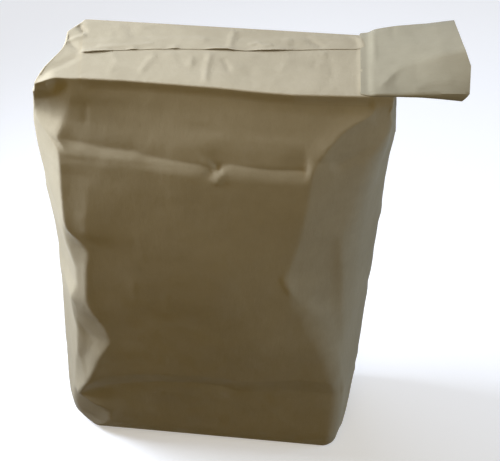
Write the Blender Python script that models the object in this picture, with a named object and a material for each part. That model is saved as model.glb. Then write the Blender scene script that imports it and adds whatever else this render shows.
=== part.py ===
"""Cement bag: a filled block-bottom valve sack of kraft paper, standing on its bottom end.

Frame: +X towards the valve, -Y towards the viewer, +Z up, origin at the middle of the bottom face.
The sack is one closed solid, lofted through the folds that run down it, and the valve sleeve is a
flattened paper tube, open at its mouth. Lengths are in millimetres until a mesh is made.
"""
import bmesh
import bpy
import numpy as np

MM = 0.001

SACK_HEIGHT = 600.0
FLAP_PLY = 1.5
SLEEVE_WALL = 1.2
SEAT_GAP = 0.3
POCKET_TOP = SACK_HEIGHT - 2 * FLAP_PLY
SLEEVE_FLOOR = POCKET_TOP + SEAT_GAP

# Folds that run down the sack, each as (z, x, y) where it turns
LEFT_FOLD = (
    (600, -174, 2), (586, -178, 2), (565, -192, 1), (545, -206, 0), (510, -212.5, 0), (468, -213, 0),
    (425, -212, 0), (390, -209, 0), (350, -205, 0), (300, -202, 0), (200, -201.5, 0), (135, -201, 0), (90, -199, 0), (45, -198, 0),
    (15, -193, 0), (0, -182, 0),
)
RIGHT_FOLD = (
    (600, 195.5, 2), (575, 201, 3), (550, 206, 0), (480, 209, 0), (400, 208.5, 0), (300, 205.5, 0),
    (135, 199, 0), (45, 192, 0), (15, 187, 0), (0, 179.5, 0),
)
FRONT_LEFT_EDGE = (
    (600, -200, -59), (590, -200.5, -58), (565, -203.5, -49), (540, -207, -42), (520, -208, -40),
    (490, -205, -42), (468, -201, -46), (440, -193, -57), (420, -183, -72), (405, -176, -85),
    (390, -174, -87), (376, -172, -88), (353, -166, -89.5), (338, -162, -90.5), (311, -162, -91),
    (282, -172, -88), (254, -171, -86), (221, -168, -85), (189, -169, -83), (150, -173, -75),
    (120, -176.5, -68), (94, -178.5, -64), (60, -183, -61), (45, -184.5, -59), (15, -180, -50),
    (0, -169.5, -44),
)
FRONT_LEFT_CREASE = (
    (600, -172, -57.5), (590, -172, -57), (578, -177, -53), (562, -187, -48.5), (550, -197, -45.5),
    (540, -204.5, -44), (531, -202, -47), (521, -191, -58), (512, -176, -75), (495, -174, -81),
    (467, -173.5, -86), (439, -172.5, -89), (418, -171.5, -91), (405, -169, -92.5), (392, -156, -95),
    (375, -144, -96.5), (343, -148, -97), (300, -150, -97), (285, -149, -97.5), (265, -141, -98),
    (247, -130, -98.5), (219, -123, -98.5), (192, -136, -96.5), (155, -149, -92), (133, -156, -88.5),
    (110, -166, -83), (91, -172, -80), (80, -153, -80.5), (68, -131, -81), (34, -132, -76.5),
    (20, -144, -70), (12, -153, -64.5), (0, -155, -54),
)
FRONT_LEFT_RIDGE = (
    (600, -157, -58), (588, -157, -57), (576, -159, -57.5), (563, -162.5, -59), (553, -165, -61),
    (543, -168, -64), (533, -174, -68), (524, -178, -71), (514, -167, -77),
)
FRONT_RIGHT_CREASE = (
    (600, 178, -57.5), (590, 178, -56), (575, 174, -58), (565, 157, -63), (556, 144, -67),
    (538, 130, -74), (517, 118, -80), (507, 113, -84), (473, 111, -87), (405, 104, -93),
    (377, 97, -95.5), (348, 92, -97), (332, 97, -97.5), (305, 108, -98), (283, 127, -96.5),
    (228, 152, -94), (168, 168, -91), (134, 176, -88), (90, 176, -86), (45, 175, -82),
    (15, 172, -73.5), (0, 166, -66),
)
FRONT_RIGHT_EDGE = (
    (600, 197, -56), (592, 197, -55.5), (574, 194, -51), (555, 198, -50), (520, 194, -55),
    (495, 186, -58), (450, 176, -62), (400, 170, -64), (300, 174, -62), (200, 179, -58),
    (135, 184, -55), (45, 184.5, -48), (15, 181, -43), (0, 173.5, -41),
)
BACK_RIGHT_EDGE = (
    (600, 193, 57), (590, 194, 56.5), (565, 198, 48), (545, 203, 41), (500, 199, 46),
    (400, 184, 58), (300, 176, 62), (200, 177, 60), (135, 181, 54), (45, 183, 48),
    (15, 180, 42), (0, 171, 38),
)
BACK_RIGHT_CREASE = (
    (600, 180, 57.5), (590, 174, 57), (575, 178, 52), (552, 193, 44), (543, 197, 43), (530, 190, 55),
    (516, 174, 74), (495, 162, 80), (440, 156, 88), (400, 140, 94), (360, 133, 97),
    (300, 134, 99), (240, 122, 99), (200, 130, 98), (135, 154, 91), (90, 166, 86), (45, 167, 79),
    (15, 166, 67), (0, 160, 57),
)
BACK_RIGHT_RIDGE = (
    (600, 172, 58), (588, 160, 57), (572, 157, 58), (556, 162, 61), (540, 168, 66), (528, 174, 70),
    (516, 166, 76),
)
BACK_LEFT_CREASE = (
    (600, -160, 58), (590, -156, 57), (576, -152, 60), (550, -146, 69), (520, -132, 79),
    (504, -126, 84), (450, -122, 90), (400, -112, 95), (360, -108, 98), (330, -114, 99),
    (250, -134, 98), (180, -152, 94), (135, -160, 90), (90, -166, 86), (45, -166, 79),
    (15, -163, 67), (0, -155, 57),
)
BACK_LEFT_EDGE = (
    (600, -175.5, 32), (590, -176, 33), (570, -181, 38), (545, -191, 42), (500, -191, 50),
    (400, -178, 61), (300, -173, 63), (200, -176, 60), (135, -180, 54), (45, -182, 48),
    (15, -179, 42), (0, -170, 38),
)
RIDGES = (FRONT_LEFT_RIDGE, BACK_RIGHT_RIDGE)
# Below this height the ridge beside a top corner is a plain line of the panel, this far across it
RIDGE_END = 512.0
RIDGE_SHARE = 0.035

# How far from a fold the paper starts to turn, (z, distance)
CRISP = ((0, 0), (600, 0))
CORNER = ((0, 22), (510, 20), (545, 0), (600, 0))
SOFT = ((0, 18), (500, 26), (560, 20), (600, 0))
# The most of a span that the turn at one of its ends may take
TURN_SHARE = 0.45

# Where the spans between folds have a column of points, as fractions of their width. The close
# pairs in the panels are the ends of the flaps pasted over the top.
CORNER_PLACES = (0.0, 0.25, 0.5, 0.75)
RIDGE_PLACES = (0.0, 0.35, 0.7)
FRONT_PLACES = (0.0, 0.016, 0.023, 0.12, 0.22, 0.33, 0.44, 0.52, 0.58, 0.70, 0.84, 0.962, 0.969)
BACK_PLACES = (0.0, *(1 - place for place in FRONT_PLACES[:0:-1]))
FLANK_PLACES = (0.0, 0.15, 0.3, 0.48, 0.66, 0.8, 0.9)
SIDE_PLACES_OUT = (0.0, 0.18, 0.45, 0.75)
SIDE_PLACES_IN = (0.0, 0.25, 0.55, 0.82)
# Spans round the sack: the fold each starts at, its columns, and how the paper turns at the fold
SPANS = (
    (FRONT_LEFT_EDGE, CORNER_PLACES, CORNER), (FRONT_LEFT_CREASE, RIDGE_PLACES, CRISP),
    (FRONT_LEFT_RIDGE, FRONT_PLACES, CRISP), (FRONT_RIGHT_CREASE, FLANK_PLACES, CRISP),
    (FRONT_RIGHT_EDGE, SIDE_PLACES_OUT, CORNER), (RIGHT_FOLD, SIDE_PLACES_IN, SOFT),
    (BACK_RIGHT_EDGE, CORNER_PLACES, CORNER), (BACK_RIGHT_CREASE, RIDGE_PLACES, CRISP),
    (BACK_RIGHT_RIDGE, BACK_PLACES, CRISP), (BACK_LEFT_CREASE, FLANK_PLACES, CRISP),
    (BACK_LEFT_EDGE, SIDE_PLACES_OUT, CORNER), (LEFT_FOLD, SIDE_PLACES_IN, SOFT),
)
HALF_ROUND = len(SPANS) // 2
FACE_SPANS = 4
PANEL = 2

# Heights of the rows of points; the creases across the panels bend two of them
CREASE_ROW = 510
FOOT_ROW = 135
ROWS = (
    600, 590, 577, 564, 552, 540, 529, 519, CREASE_ROW, 503, 494, 470, 440, 405, 375, 343, 320, 300,
    283, 262, 240, 219, 192, 168, 150, FOOT_ROW, 122, 106, 88, 60, 30, 13, 0,
)
STRAIGHT_ROWS = (600, 560, 440, 200, 0)
# Creases across the front and back panels, below the top and above the foot, as (x, z)
FRONT_CREASE = ((-190, 528), (-104, 518), (-35, 509), (112, 508))
BACK_CREASE = ((-128, 504), (-10, 503), (84, 514), (176, 522))
FRONT_FOOT = (
    (-176, 88), (-131, 119), (-98, 131), (-62, 137), (1, 139), (32, 129), (75, 129), (111, 138), (180, 136),
)
BACK_FOOT = ((-160, 132), (152, 128))
# How far a panel stands out at heights over such a crease, (height, out)
CREASE_SECTION = ((-15, 0), (-7, -0.8), (0, -3), (14, -0.8), (28, 0))
FOOT_SECTION = ((-30, 0), (-13, -1.6), (0, -4), (15, -0.8), (32, 1.2), (70, 0))
# The creases fade out over this share of the panel at both of its ends
CREASE_FADE = 0.03

# How far the middle of each panel stands out past the folds beside it, (z, out)
PANEL_CROWN = (
    (600, 0), (576, 1), (495, 2.5), (400, 6), (300, 8), (200, 5), (135, 1.5), (60, 2), (0, 0),
)
# How far the rim of the front panel stands out, (x, out), fading to nothing down the sack
FRONT_RIM_BOW = (
    (-197, 0), (-186, 2.0), (-147, -2.5), (-97, -3), (-46, -1.5), (2, 0), (48, 3.5), (87, 5),
    (132, 2.5), (178, 0), (197, 0),
)
RIM_FADE = 60.0
# The front-left corner of the top is knocked down
KNOCKED_CORNER = (-199.0, -59.0)
KNOCK_DEPTH = 9.0
KNOCK_REACH = 24.0

# The flaps over the top end: their outermost columns, counted from the left edge, and their seam
FLAP_COLUMNS = range(9, 19)
SEAM = ((-153, -9), (155, 28))
SEAM_HALF_RUN = 1.4
FRONT_FLAP_SHARES = (0.25, 0.5, 0.78)
BACK_FLAP_SHARES = (0.36, 0.7)
SEAM_LINE = len(FRONT_FLAP_SHARES) + 1

# The valve sleeve at stations along x: front edge, ridge and back edge of its top sheet, each as
# (y, height over the pocket it lies on, depth of the sleeve there)
SLEEVE_STATIONS = (
    (170.0, (-56, 3.2, 3.2), (-50, 3.2, 3.2), (59, 5.0, 3.2)),
    (184.0, (-56, 3.4, 3.4), (-38, 5.4, 5.0), (61, 8.0, 3.4)),
    (198.0, (-55, 3.5, 3.4), (-19, 8.6, 8.0), (63, 10.8, 3.8)),
    (220.0, (-53, 4.4, 4.6), (-9, 14.4, 13.6), (63.5, 15.0, 4.2)),
    (247.0, (-51, 5.0, 6.6), (-5, 23.4, 21.4), (63.5, 19.4, 4.6)),
    (272.0, (-49, 5.4, 9.8), (-4, 30.4, 26.6), (63.5, 23.2, 5.0)),
)
SLEEVE_SLOPE_STEPS = 4
SLEEVE_FLAT_STEPS = 3
# The mouth's edge runs back to the far side, (y, shift in x), and its lower sheet is set back
MOUTH_PLAN = ((-49, 5.5), (-20, 6.5), (-4, 0.5), (15, -2), (63.5, -8))
MOUTH_START = 220.0
MOUTH_SLANT = 7.0

KRAFT = (0.42, 0.36, 0.26, 1.0)
SLEEVE_KRAFT = (0.46, 0.41, 0.31, 1.0)
PAPER_ROUGHNESS = 0.75


def clear_scene():
    for obj in list(bpy.data.objects):
        bpy.data.objects.remove(obj, do_unlink=True)


def paper_material(name, colour):
    material = bpy.data.materials.new(name)
    material.use_nodes = True
    shader = material.node_tree.nodes["Principled BSDF"]
    shader.inputs["Base Color"].default_value = colour
    shader.inputs["Roughness"].default_value = PAPER_ROUGHNESS
    shader.inputs["Metallic"].default_value = 0.0
    return material


def between(a, b, t):
    return a + (b - a) * t


def along(table, at):
    """Values of a table of (place, value, ...) rows, in either order, at the given places."""
    rows = np.array(sorted(table), dtype=float)
    return np.stack([np.interp(at, rows[:, 0], column) for column in rows[:, 1:].T], axis=-1)


def smoothstep(value, low, high):
    t = np.clip((value - low) / (high - low), 0.0, 1.0)
    return t * t * (3 - 2 * t)


def fold_at(index, levels):
    """Plan positions (levels, 2) of the fold that starts a span."""
    line = SPANS[index % len(SPANS)][0]
    plan = along(line, levels)
    if line in RIDGES:
        panel_line = between(fold_at(index - 1, levels), fold_at(index + 1, levels), RIDGE_SHARE)
        plan = np.where(levels[:, None] > RIDGE_END, plan, panel_line)
    return plan


def turn_reach(index, levels):
    """How far from a fold the paper starts to turn, at the given heights."""
    before, here, after = (fold_at(index + step, levels) for step in (-1, 0, 1))
    shorter = np.minimum(np.linalg.norm(here - before, axis=1), np.linalg.norm(after - here, axis=1))
    wanted = along(SPANS[index % len(SPANS)][2], levels)[:, 0]
    return np.minimum(wanted, TURN_SHARE * shorter)[:, None] + 1e-6


def turned(corner, before, after, reach, t):
    """Point of the rounded turn at a corner, t from 0 on the way in to 1 on the way out."""
    start = corner + (before - corner) * reach / np.linalg.norm(before - corner, axis=1, keepdims=True)
    end = corner + (after - corner) * reach / np.linalg.norm(after - corner, axis=1, keepdims=True)
    return (1 - t) ** 2 * start + 2 * t * (1 - t) * corner + t * t * end


def span_plan(span, place, levels):
    """Plan positions of a column of points, a fraction of the way across a span."""
    before, here, there, beyond = (fold_at(span + step, levels) for step in (-1, 0, 1, 2))
    length = np.linalg.norm(there - here, axis=1)[:, None]
    near, far = length * place, length * (1 - place)
    near_reach, far_reach = turn_reach(span, levels), turn_reach(span + 1, levels)
    entering = turned(here, before, there, near_reach, 0.5 + 0.5 * near / near_reach)
    leaving = turned(there, here, beyond, far_reach, 0.5 - 0.5 * far / far_reach)
    straight = between(here, there, place)
    return np.where(near < near_reach, entering, np.where(far < far_reach, leaving, straight))


def creases_of(span, place):
    """Heights of the two creases across the face that a column is on."""
    crease, foot = (FRONT_CREASE, FRONT_FOOT) if span < HALF_ROUND else (BACK_CREASE, BACK_FOOT)
    share = (place, 1.0, 1.0, 1 - place, 0.0, 0.0)[span % HALF_ROUND]
    heights = []
    for line, row in ((crease, CREASE_ROW), (foot, FOOT_ROW)):
        x = span_plan(span, place, np.array([float(row)]))[0, 0]
        heights.append(between(row, along(line, x)[0], share))
    return heights


def knock(x, y):
    """How far the knocked corner of the top lies below its place."""
    gap = np.hypot(x - KNOCKED_CORNER[0], y - KNOCKED_CORNER[1])
    return KNOCK_DEPTH * np.clip(1 - gap / KNOCK_REACH, 0, 1) ** 1.6


def column_points(span, place):
    """Points of one column of the wall, from the rim down to the floor: (rows, 3)."""
    crease_z, foot_z = creases_of(span, place)
    bends = [(row, row) for row in STRAIGHT_ROWS] + [(CREASE_ROW, crease_z), (FOOT_ROW, foot_z)]
    levels = along(bends, ROWS)[:, 0]
    plan = span_plan(span, place, levels)
    rim_share = smoothstep(levels, SACK_HEIGHT - RIM_FADE, SACK_HEIGHT)
    outward = -1 if span < HALF_ROUND else 1
    if span % HALF_ROUND == PANEL:
        fade = min(1.0, place / CREASE_FADE, (1 - place) / CREASE_FADE)
        out = along(PANEL_CROWN, levels)[:, 0] * 4 * place * (1 - place)
        out += fade * along(CREASE_SECTION, levels - crease_z)[:, 0]
        out += fade * along(FOOT_SECTION, levels - foot_z)[:, 0]
        plan[:, 1] += outward * out
    if span < FACE_SPANS:
        plan[:, 1] -= along(FRONT_RIM_BOW, plan[:, 0])[:, 0] * rim_share
    levels = levels - knock(plan[:, 0], plan[:, 1]) * rim_share
    return np.column_stack([plan, levels])


def seam_shares(x, front_y, back_y):
    """Fractions from the front rim to the back rim where the lines along the flaps lie."""
    seam = (along(SEAM, x)[0] - front_y) / (back_y - front_y)
    run = SEAM_HALF_RUN / (back_y - front_y)
    shares = [seam * share for share in FRONT_FLAP_SHARES] + [seam - run, seam + run]
    return np.array(shares + [between(seam, 1, share) for share in BACK_FLAP_SHARES])


def top_level(u, v, x, y):
    """Height of a point of the top end: bare pocket, front flap, or back flap over the front one."""
    plies = 0
    if u in FLAP_COLUMNS:
        plies = 1 if v <= SEAM_LINE else 2
    return POCKET_TOP + plies * FLAP_PLY - knock(x, y)


def make_sack(material):
    bm = bmesh.new()
    columns = [column_points(span, place) for span, (_, places, _) in enumerate(SPANS) for place in places]
    count = len(columns)
    u_last = sum(len(places) for _, places, _ in SPANS[:FACE_SPANS])
    v_last = sum(len(places) for _, places, _ in SPANS[FACE_SPANS:HALF_ROUND])
    front = list(range(u_last + 1))
    right = list(range(u_last, u_last + v_last + 1))
    back = [(-v_last - u) % count for u in range(u_last + 1)]
    left = [-v % count for v in range(v_last + 1)]

    # Rim points take their height from the end that is folded and pasted there
    rim = {}
    for u in range(u_last + 1):
        rim[u, 0], rim[u, v_last] = front[u], back[u]
    for v in range(v_last + 1):
        rim[0, v], rim[u_last, v] = left[v], right[v]
    for (u, v), column in rim.items():
        x, y, _ = columns[column][0]
        columns[column][0, 2] = top_level(u, v, x, y)
    wall = [[bm.verts.new(point) for point in column] for column in columns]

    top = {place: wall[column][0] for place, column in rim.items()}
    side_shares = {}
    for u, side in ((0, left), (u_last, right)):
        ys = np.array([columns[column][0, 1] for column in side])
        side_shares[u] = (ys[1:-1] - ys[0]) / (ys[-1] - ys[0])
    first_flap, last_flap = FLAP_COLUMNS[0], FLAP_COLUMNS[-1]
    for u in range(1, u_last):
        start, end = columns[front[u]][0], columns[back[u]][0]
        shares = seam_shares(between(start[0], end[0], 0.5), start[1], end[1])
        if u < first_flap:
            shares = between(side_shares[0], shares, u / first_flap)
        elif u > last_flap:
            shares = between(side_shares[u_last], shares, (u_last - u) / (u_last - last_flap))
        for v, share in enumerate(shares, start=1):
            x, y = between(start[:2], end[:2], share)
            top[u, v] = bm.verts.new((x, y, top_level(u, v, x, y)))

    for u in range(u_last):
        for v in range(v_last):
            bm.faces.new((top[u, v], top[u + 1, v], top[u + 1, v + 1], top[u, v + 1]))
    for here, beside in zip(wall, wall[1:] + wall[:1]):
        for row in range(len(ROWS) - 1):
            bm.faces.new((here[row], here[row + 1], beside[row + 1], beside[row]))
    # The bottom end is flat
    bm.faces.new([column[-1] for column in reversed(wall)])
    return finish_solid(bm, "sack", material)


def sleeve_section(front, ridge, back):
    """Section of the sleeve at one station: (y, top z, bottom z) from front to back."""
    points = []
    for start, end, steps in ((front, ridge, SLEEVE_SLOPE_STEPS), (ridge, back, SLEEVE_FLAT_STEPS)):
        points += [[between(a, b, step / steps) for a, b in zip(start, end)] for step in range(steps)]
    points.append(back)
    return [(y, SLEEVE_FLOOR + height, SLEEVE_FLOOR + height - depth) for y, height, depth in points]


def sleeve_loop(x, points, wall):
    """One closed section of the sleeve, its height set in by the wall."""
    last = len(points) - 1
    mouth = max(0.0, (x - MOUTH_START) / (SLEEVE_STATIONS[-1][0] - MOUTH_START))
    upper, lower = [], []
    for index, (y, top_z, bottom_z) in enumerate(points):
        plan_x = x + mouth * along(MOUTH_PLAN, y)[0]
        inset = wall * ((index == 0) - (index == last))
        upper.append((plan_x, y + inset, top_z - wall))
        lower.append((plan_x - MOUTH_SLANT * mouth, y + inset, bottom_z + wall))
    return upper + lower[::-1]


def make_sleeve(material):
    bm = bmesh.new()
    outer, inner = [], []
    for index, (x, *edges) in enumerate(SLEEVE_STATIONS):
        points = sleeve_section(*edges)
        inner_x = x + SLEEVE_WALL if index == 0 else x
        outer.append([bm.verts.new(point) for point in sleeve_loop(x, points, 0.0)])
        inner.append([bm.verts.new(point) for point in sleeve_loop(inner_x, points, SLEEVE_WALL)])

    count = len(outer[0])
    for a in range(count):
        b = (a + 1) % count
        for near, far in zip(outer, outer[1:]):
            bm.faces.new((near[a], near[b], far[b], far[a]))
        for near, far in zip(inner, inner[1:]):
            bm.faces.new((near[b], near[a], far[a], far[b]))
        bm.faces.new((outer[-1][a], outer[-1][b], inner[-1][b], inner[-1][a]))
    # Both skins close at the end that is pasted into the sack
    for loop in (outer[0], inner[0]):
        for a in range(count // 2 - 1):
            bm.faces.new((loop[a], loop[a + 1], loop[count - 2 - a], loop[count - 1 - a]))
    return finish_solid(bm, "valve_sleeve", material)


def finish_solid(bm, name, material):
    bmesh.ops.recalc_face_normals(bm, faces=bm.faces)
    for vert in bm.verts:
        vert.co *= MM
    mesh = bpy.data.meshes.new(name)
    bm.to_mesh(mesh)
    bm.free()
    mesh.materials.append(material)
    obj = bpy.data.objects.new(name, mesh)
    bpy.context.scene.collection.objects.link(obj)
    return obj


def main():
    clear_scene()
    make_sack(paper_material("kraft_paper", KRAFT))
    make_sleeve(paper_material("sleeve_kraft_paper", SLEEVE_KRAFT))


main()
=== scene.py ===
"""Looks of the cement bag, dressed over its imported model.

Lengths are in millimetres until a mesh is made. +X is towards the valve sleeve, -Y towards the
viewer and +Z up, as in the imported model.
"""
import math
import random

import bpy
import numpy as np
from mathutils import Matrix, Vector, noise


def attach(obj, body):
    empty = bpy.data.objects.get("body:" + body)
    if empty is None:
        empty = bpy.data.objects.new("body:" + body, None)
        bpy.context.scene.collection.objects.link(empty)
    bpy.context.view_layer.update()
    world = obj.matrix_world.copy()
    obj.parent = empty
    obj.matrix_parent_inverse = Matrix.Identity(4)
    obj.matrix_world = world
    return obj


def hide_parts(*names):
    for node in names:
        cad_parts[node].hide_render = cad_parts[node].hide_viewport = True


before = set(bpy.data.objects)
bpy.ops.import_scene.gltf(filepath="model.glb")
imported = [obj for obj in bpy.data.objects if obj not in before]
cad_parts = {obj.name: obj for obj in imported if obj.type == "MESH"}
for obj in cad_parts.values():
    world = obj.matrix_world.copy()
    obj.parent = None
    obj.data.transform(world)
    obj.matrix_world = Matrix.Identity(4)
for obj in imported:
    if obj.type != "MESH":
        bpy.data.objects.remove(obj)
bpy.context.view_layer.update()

MM = 0.001

# Camera, fitted to the photograph: focal length in pixels of a frame 500 pixels wide
IMAGE_WIDTH = 500
FOCAL_PIXELS = 1400.0
SENSOR_WIDTH = 36.0
CAMERA_YAW = 1.31
CAMERA_PITCH = 42.93
CAMERA_ROLL = 2.65
CAMERA_DISTANCE = 1749.0
CAMERA_TARGET = (44.0, 0.0, 335.0)

# The closed top end, below the two flaps pasted over it
BASE_TOP = 598.3
RIM_RADIUS = 1.8
RIM_STEPS = 5
BOTTOM_RADIUS = 4.0
BOTTOM_STEPS = 5
# Rows down the wall between its rounded edges: (from, to, spacing)
WALL_BANDS = (
    (594, 560, 3.0), (560, 530, 2.6), (530, 478, 1.8), (478, 170, 5.0), (170, 110, 2.5),
    (110, 10, 4.5), (10, 5, 1.6),
)
PANEL_COLUMNS = 96

# Folds that run down the sack, each as (z, x, y) where it turns
LEFT_FOLD = (
    (600, -174, 2), (586, -178, 2), (565, -192, 1), (545, -206, 0), (510, -212.5, 0), (468, -213, 0),
    (425, -212, 0), (390, -209, 0), (350, -205, 0), (300, -202, 0), (200, -201.5, 0), (135, -201, 0), (90, -199, 0), (45, -198, 0),
    (15, -193, 0), (0, -182, 0),
)
RIGHT_FOLD = (
    (600, 195.5, 2), (575, 201, 3), (550, 206, 0), (480, 209, 0), (400, 208.5, 0), (300, 205.5, 0),
    (135, 199, 0), (45, 192, 0), (15, 187, 0), (0, 179.5, 0),
)
FRONT_LEFT_EDGE = (
    (600, -200, -59), (590, -200.5, -58), (565, -203.5, -49), (540, -207, -42), (520, -208, -40),
    (490, -205, -42), (468, -201, -46), (440, -193, -56), (420, -183, -69), (405, -176, -81),
    (390, -174, -82.5), (376, -172, -83), (353, -166, -85.5), (338, -162, -87.5), (311, -162, -88.5),
    (282, -172, -83), (254, -171, -81), (221, -168, -80), (189, -169, -78), (150, -173, -71.5),
    (120, -176.5, -64.5), (94, -178.5, -62), (60, -183, -58), (45, -184.5, -55), (15, -180, -46),
    (0, -169.5, -42),
)
FRONT_LEFT_CREASE = (
    (600, -172, -57.5), (590, -176, -53.5), (578, -180, -53), (562, -188, -52), (550, -197, -48),
    (540, -204.5, -44), (531, -202, -47), (521, -191, -58), (512, -176, -75), (495, -174, -81),
    (467, -173.5, -86.5), (439, -172.5, -90), (418, -171.5, -92.5), (405, -169, -93.5), (392, -156, -94.5),
    (375, -144, -95.5), (343, -148, -96.5), (300, -150, -97), (285, -149, -97.5), (265, -141, -98),
    (247, -130, -98.5), (219, -123, -98.5), (192, -136, -96.5), (155, -149, -92), (133, -156, -88.5),
    (110, -166, -83), (91, -172, -80), (80, -153, -80.5), (68, -131, -81), (34, -132, -76.5),
    (20, -144, -70), (12, -153, -64.5), (0, -155, -54),
)
FRONT_LEFT_RIDGE = (
    (600, -157, -58), (588, -157, -58.5), (576, -158.5, -59.5), (563, -162.5, -58.5), (553, -165, -59.5),
    (543, -168, -61.5), (533, -173, -66), (524, -177, -70.5), (514, -168, -75),
    (503, -164, -79),
)
FRONT_RIGHT_CREASE = (
    (600, 178, -57.5), (590, 178, -56), (575, 174, -58), (565, 157, -63), (556, 144, -67),
    (538, 130, -74), (517, 118, -80), (507, 113, -84), (473, 111, -87), (405, 104, -93),
    (377, 97, -95.5), (348, 92, -97), (332, 97, -97.5), (305, 108, -98), (283, 127, -96.5),
    (228, 152, -94), (168, 168, -91), (134, 176, -88), (90, 176, -86), (45, 175, -82),
    (15, 172, -73.5), (0, 166, -66),
)
FRONT_RIGHT_EDGE = (
    (600, 197, -56), (592, 197, -55.5), (574, 194, -51), (555, 198, -50), (520, 194, -55),
    (495, 186, -58), (450, 176, -62), (400, 170, -64), (300, 174, -62), (200, 179, -58),
    (135, 184, -55), (45, 184.5, -48), (15, 181, -43), (0, 173.5, -41),
)
BACK_RIGHT_EDGE = (
    (600, 193, 57), (590, 194, 56.5), (565, 198, 48), (545, 203, 41), (500, 199, 46),
    (400, 184, 58), (300, 176, 62), (200, 177, 60), (135, 181, 54), (45, 183, 48),
    (15, 180, 42), (0, 171, 38),
)
BACK_RIGHT_CREASE = (
    (600, 170, 57.5), (590, 170, 57), (575, 178, 52), (552, 193, 44), (543, 197, 43), (530, 190, 55),
    (516, 174, 74), (495, 162, 80), (440, 156, 88), (400, 140, 94), (360, 133, 97),
    (300, 134, 99), (240, 122, 99), (200, 130, 98), (135, 154, 91), (90, 166, 86), (45, 167, 79),
    (15, 166, 67), (0, 160, 57),
)
BACK_RIGHT_RIDGE = (
    (600, 155, 58), (588, 155, 57), (572, 157, 58), (556, 162, 61), (540, 168, 66), (528, 174, 70),
    (516, 166, 76), (503, 160, 78.5),
)
BACK_LEFT_CREASE = (
    (600, -159, 57.5), (590, -156, 57), (576, -152, 60), (550, -146, 69), (520, -132, 79),
    (504, -126, 84), (450, -122, 90), (400, -112, 95), (360, -108, 98), (330, -114, 99),
    (250, -134, 98), (180, -152, 94), (135, -160, 90), (90, -166, 86), (45, -166, 79),
    (15, -163, 67), (0, -155, 57),
)
BACK_LEFT_EDGE = (
    (600, -175.5, 32), (590, -176, 33), (570, -181, 38), (545, -191, 42), (500, -191, 50),
    (400, -178, 61), (300, -173, 63), (200, -176, 60), (135, -180, 54), (45, -182, 48),
    (15, -179, 42), (0, -170, 38),
)
# Below this height the ridge beside a top corner is a plain line of the panel, this far across it
RIDGE_END = 500.0
RIDGE_SHARE = 0.035

# How far from a fold the paper starts to turn, (z, distance)
CRISP = ((0, 6), (90, 4), (510, 3), (600, 3))
CORNER = ((0, 22), (510, 20), (545, 4), (600, 3))
LEFT_CORNER = ((0, 16), (60, 9), (130, 4), (480, 5), (600, 3))
RIGHT_CREASE = ((0, 10), (60, 16), (150, 28), (280, 20), (325, 4), (600, 3))
RIDGE = ((0, 0), (505, 0), (530, 4), (600, 4))
SOFT = ((0, 18), (500, 26), (600, 20))
# Spans round the sack: the fold each starts at, its columns, and how the paper turns there
SPANS = (
    (FRONT_LEFT_EDGE, 12, LEFT_CORNER), (FRONT_LEFT_CREASE, 10, CRISP), (FRONT_LEFT_RIDGE, PANEL_COLUMNS, RIDGE),
    (FRONT_RIGHT_CREASE, 22, RIGHT_CREASE), (FRONT_RIGHT_EDGE, 20, CORNER), (RIGHT_FOLD, 20, SOFT),
    (BACK_RIGHT_EDGE, 12, CORNER), (BACK_RIGHT_CREASE, 10, CRISP), (BACK_RIGHT_RIDGE, PANEL_COLUMNS, RIDGE),
    (BACK_LEFT_CREASE, 22, CRISP), (BACK_LEFT_EDGE, 20, CORNER), (LEFT_FOLD, 20, SOFT),
)
FRONT_PANEL_SPAN, BACK_PANEL_SPAN = 2, 8
RIDGE_LINES = (FRONT_LEFT_RIDGE, BACK_RIGHT_RIDGE)
FRONT_SPANS, RIGHT_SPANS, BACK_SPANS = range(0, 4), range(4, 6), range(6, 10)

# How far the middle of each panel stands out past the folds beside it, (z, out)
PANEL_CROWN = ((600, 0), (576, 1), (495, 2.5), (400, 6), (300, 8), (200, 5), (135, 1.5), (60, 2), (0, 0))
# How far the rim of the front panel stands out, (x, out), fading down the sack
FRONT_RIM_BOW = (
    (-197, 0), (-186, 2.0), (-147, -2.5), (-97, -3), (-46, -1.5), (2, 0), (48, 3.5), (87, 5),
    (132, 2.5), (178, 0), (197, 0),
)
RIM_BOW_DEPTH = 60.0
CROWN_BLEND = 45
# The front-left corner of the top is knocked down
KNOCKED_CORNER = (-199.0, -59.0)
KNOCK_DEPTH = 9.0
KNOCK_REACH = 24.0

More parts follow.
